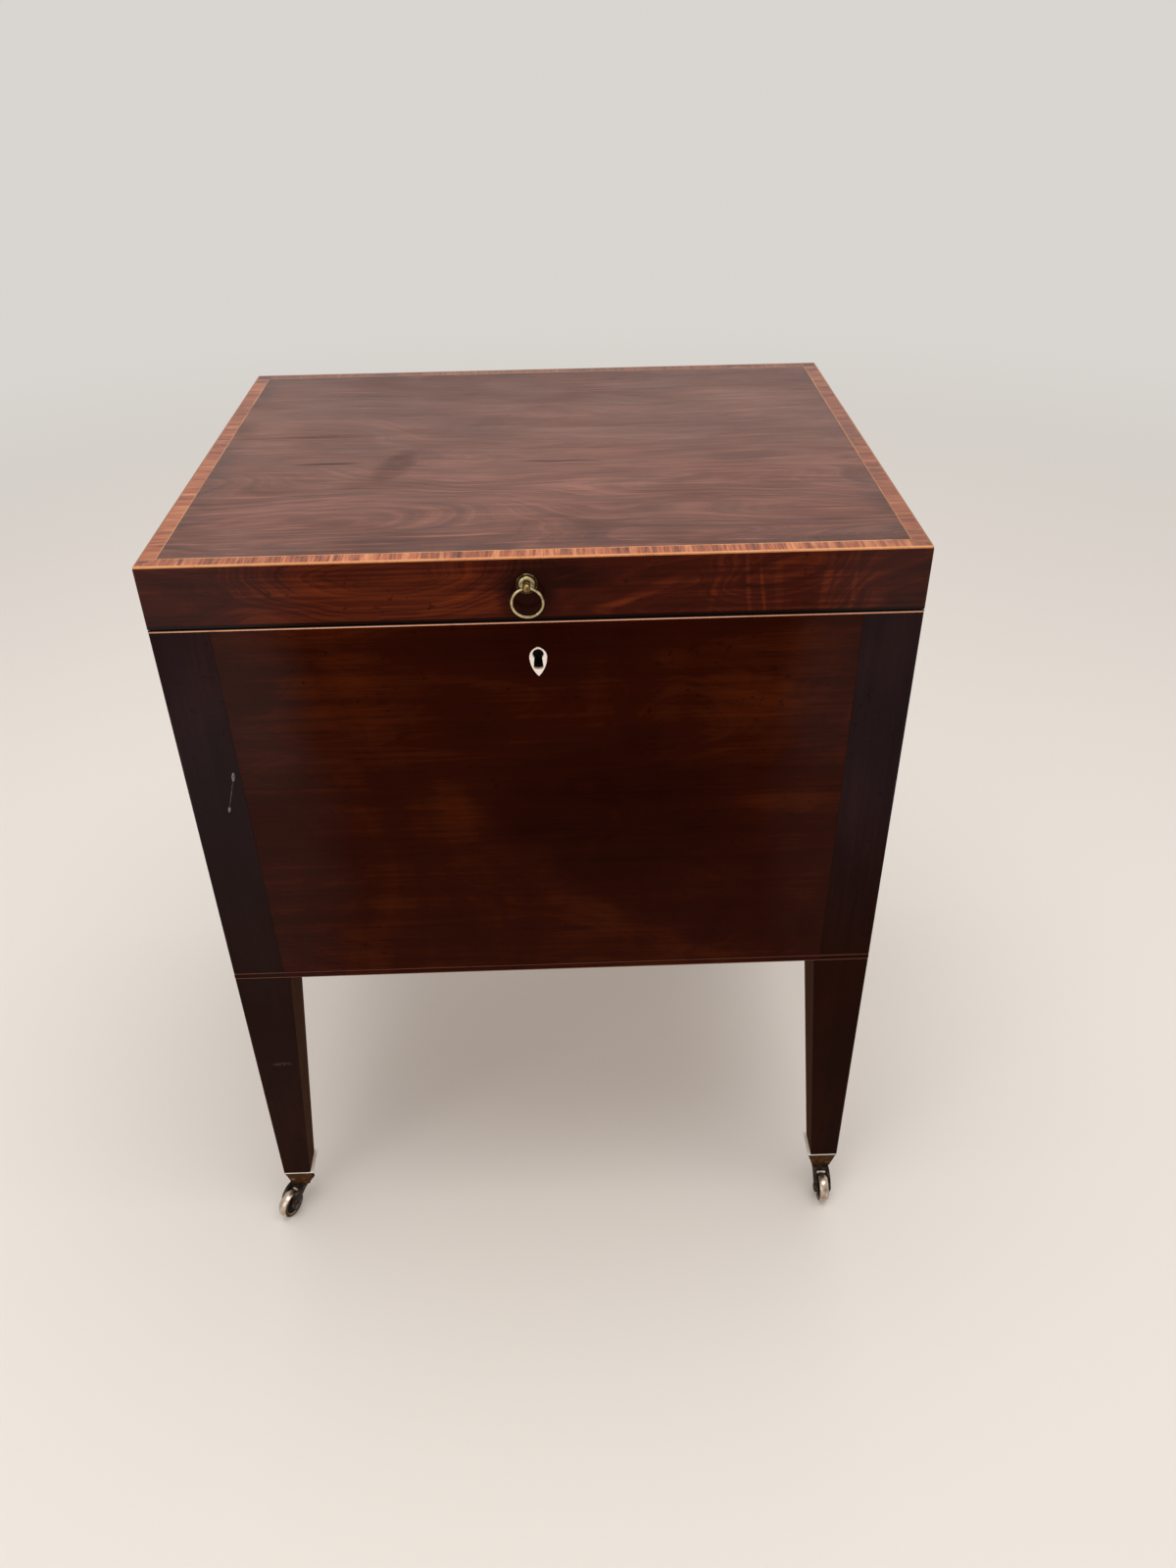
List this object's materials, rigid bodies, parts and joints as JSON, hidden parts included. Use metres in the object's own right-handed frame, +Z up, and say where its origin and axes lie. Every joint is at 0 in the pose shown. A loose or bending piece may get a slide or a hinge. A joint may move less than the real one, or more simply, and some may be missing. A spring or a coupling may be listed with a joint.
{
  "type": "cellarette",
  "caption": "Square-legged wooden bottle box with a hinged lid, ring pull, box lock, inner partitions and swivelling brass castors.",
  "frame": {"origin": "on the floor under the middle of the case", "axes": "+X to the right, +Y from the front to the back, +Z up"},
  "size_m": [0.5395, 0.4666, 0.665],
  "materials": {
    "dark_mahogany": "old French polish",
    "mahogany": "old French polish",
    "top_mahogany": "faded French polish",
    "crossbanding": "French polish",
    "boxwood": "French polish",
    "deal": "bare",
    "antique_brass": "worn, toned",
    "dark_brass": "dark patina",
    "wheel_brass": "worn bright",
    "iron": "dull",
    "bone": "satin"
  },
  "bodies": {
    "carcass": {"post_front_left": "dark_mahogany", "post_front_right": "dark_mahogany", "post_back_left": "dark_mahogany", "post_back_right": "dark_mahogany", "castor_plate_front_left": "dark_brass", "castor_plate_front_right": "dark_brass", "castor_plate_back_left": "dark_brass", "castor_plate_back_right": "dark_brass", "castor_pivots": "iron", "front_panel": "mahogany", "back_panel": "mahogany", "left_panel": "mahogany", "right_panel": "mahogany", "bottom_board": "deal", "case_top_stringing": "boxwood", "base_stringing": "boxwood", "long_partition_1": "deal", "long_partition_2": "deal", "cross_partition_1": "deal", "cross_partition_2": "deal", "cross_partition_3": "deal", "hinge_case_leaf_left": "antique_brass", "hinge_case_leaf_right": "antique_brass", "hinge_pins": "iron", "escutcheon": "bone", "lock_case": "antique_brass", "lock_cover": "antique_brass", "case_screws": "iron"},
    "lid": {"lid_front_rail": "mahogany", "lid_back_rail": "mahogany", "lid_left_rail": "mahogany", "lid_right_rail": "mahogany", "lid_board": "deal", "lid_veneer": "top_mahogany", "lid_crossbanding": "crossbanding", "lid_stringing": "boxwood", "hinge_lid_leaf_left": "antique_brass", "hinge_lid_leaf_right": "antique_brass", "pull_rosette": "antique_brass", "pull_post": "antique_brass", "pull_nut": "iron", "link_plate": "antique_brass", "lid_screws": "iron"},
    "ring": {"pull_ring": "antique_brass"},
    "bolt": {"lock_bolt": "iron"},
    "fork_front_left": {"castor_fork_front_left": "dark_brass", "castor_axle_front_left": "iron"},
    "wheel_front_left": {"castor_wheel_front_left": "wheel_brass"},
    "fork_front_right": {"castor_fork_front_right": "dark_brass", "castor_axle_front_right": "iron"},
    "wheel_front_right": {"castor_wheel_front_right": "wheel_brass"},
    "fork_back_left": {"castor_fork_back_left": "dark_brass", "castor_axle_back_left": "iron"},
    "wheel_back_left": {"castor_wheel_back_left": "wheel_brass"},
    "fork_back_right": {"castor_fork_back_right": "dark_brass", "castor_axle_back_right": "iron"},
    "wheel_back_right": {"castor_wheel_back_right": "wheel_brass"}
  },
  "joints": [
    {"name": "lid_hinge", "type": "hinge", "parent": "carcass", "child": "lid", "pos_m": [0, 0.208, 0.6195], "axis": [-1, 0, 0], "range_deg": [0, 96]},
    {"name": "ring_swing", "type": "hinge", "parent": "lid", "child": "ring", "pos_m": [-0.0064, -0.2186, 0.6466], "axis": [-1, 0, 0], "range_deg": [-14, 158]},
    {"name": "bolt_slide", "type": "slide", "parent": "carcass", "child": "bolt", "axis": [1, 0, 0], "range_m": [0, 0.006]},
    {"name": "swivel_front_left", "type": "hinge", "parent": "carcass", "child": "fork_front_left", "pos_m": [-0.2478, -0.1988, 0.0277], "axis": [0, 0, 1], "continuous": true},
    {"name": "roll_front_left", "type": "hinge", "parent": "fork_front_left", "child": "wheel_front_left", "pos_m": [-0.2583, -0.21699, 0.0135], "axis": [0.866, -0.5, 0], "continuous": true},
    {"name": "swivel_front_right", "type": "hinge", "parent": "carcass", "child": "fork_front_right", "pos_m": [0.2478, -0.1988, 0.0277], "axis": [0, 0, 1], "continuous": true},
    {"name": "roll_front_right", "type": "hinge", "parent": "fork_front_right", "child": "wheel_front_right", "pos_m": [0.2478, -0.2198, 0.0135], "axis": [1, 0, 0], "continuous": true},
    {"name": "swivel_back_left", "type": "hinge", "parent": "carcass", "child": "fork_back_left", "pos_m": [-0.2478, 0.1988, 0.0277], "axis": [0, 0, 1], "continuous": true},
    {"name": "roll_back_left", "type": "hinge", "parent": "fork_back_left", "child": "wheel_back_left", "pos_m": [-0.24707, 0.21979, 0.0135], "axis": [-0.9994, 0.0349, 0], "continuous": true},
    {"name": "swivel_back_right", "type": "hinge", "parent": "carcass", "child": "fork_back_right", "pos_m": [0.2478, 0.1988, 0.0277], "axis": [0, 0, 1], "continuous": true},
    {"name": "roll_back_right", "type": "hinge", "parent": "fork_back_right", "child": "wheel_back_right", "pos_m": [0.26073, 0.21535, 0.0135], "axis": [-0.788, 0.6157, 0], "continuous": true}
  ]
}
